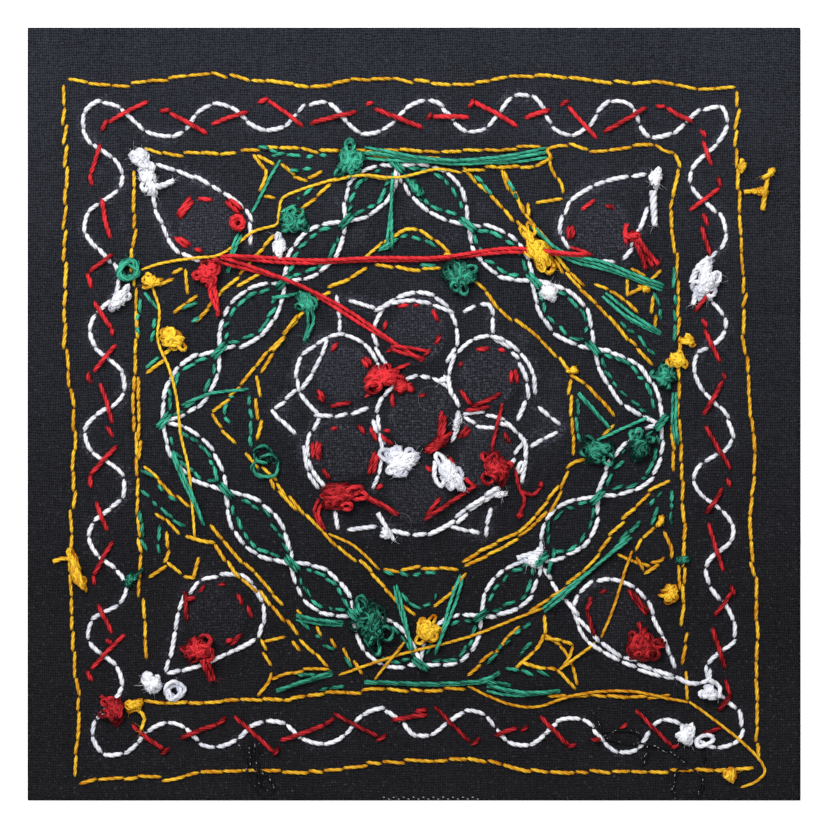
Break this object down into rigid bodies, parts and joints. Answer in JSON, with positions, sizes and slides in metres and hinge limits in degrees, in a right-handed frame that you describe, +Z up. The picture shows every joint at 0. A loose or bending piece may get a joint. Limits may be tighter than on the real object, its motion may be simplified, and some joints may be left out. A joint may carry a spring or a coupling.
{
  "type": "mirror work patch",
  "caption": "Square black cotton patch with mirror work, lying wrong side up: stitched frames, wave, leaf garland and flower in four thread colours over round mirrors.",
  "frame": {"origin": "on the surface under the middle of the cloth", "axes": "+Z up out of the wrong side, which shows; +Y towards the top edge, +X towards the right edge"},
  "size_m": [0.18, 0.18, 0.0103],
  "materials": {
    "black_cotton": "plain weave, matt",
    "mirror_glass": "silvered glass",
    "red_thread": "plied cotton, soft sheen",
    "white_thread": "plied cotton, soft sheen",
    "yellow_thread": "plied cotton, soft sheen",
    "green_thread": "plied cotton, soft sheen"
  },
  "bodies": {
    "root": {"cloth": "black_cotton", "collar_centre": "red_thread", "collar_corner_ne": "red_thread", "collar_corner_nw": "red_thread", "collar_corner_se": "red_thread", "collar_corner_sw": "red_thread", "collar_petal_n": "red_thread", "collar_petal_ne": "red_thread", "collar_petal_nw": "red_thread", "collar_petal_s": "red_thread", "collar_petal_se": "red_thread", "collar_petal_sw": "red_thread", "green_float_corner_ne": "green_thread", "green_float_corner_se": "green_thread", "green_float_frame_n": "green_thread", "green_float_frame_s": "green_thread", "green_float_leaf_w": "green_thread", "green_float_point_s_e": "green_thread", "green_float_point_s_w": "green_thread", "green_knot_diamond_n": "green_thread", "green_knot_frame_w": "green_thread", "green_knot_leaf_e": "green_thread", "green_knot_leaf_se_a": "green_thread", "green_knot_leaf_se_b": "green_thread", "green_knot_leaf_sw": "green_thread", "mirror_centre": "mirror_glass", "mirror_corner_ne": "mirror_glass", "mirror_corner_nw": "mirror_glass", "mirror_corner_se": "mirror_glass", "mirror_corner_sw": "mirror_glass", "mirror_petal_n": "mirror_glass", "mirror_petal_ne": "mirror_glass", "mirror_petal_nw": "mirror_glass", "mirror_petal_s": "mirror_glass", "mirror_petal_se": "mirror_glass", "mirror_petal_sw": "mirror_glass", "red_float_across_n": "red_thread", "red_knot_border_sw": "red_thread", "red_knot_corner_se": "red_thread", "red_knot_corner_sw": "red_thread", "red_knot_flower_n": "red_thread", "red_knot_flower_se": "red_thread", "red_knot_flower_sw": "red_thread", "white_drop_corner_ne": "white_thread", "white_drop_corner_nw": "white_thread", "white_drop_corner_se": "white_thread", "white_drop_corner_sw": "white_thread", "white_flower": "white_thread", "white_garland": "white_thread", "white_wave": "white_thread", "yellow_corner_ne": "yellow_thread", "yellow_corner_nw": "yellow_thread", "yellow_corner_se": "yellow_thread", "yellow_corner_sw": "yellow_thread", "yellow_diamond": "yellow_thread", "yellow_frame_inner": "yellow_thread", "yellow_frame_outer": "yellow_thread"}
  },
  "joints": []
}
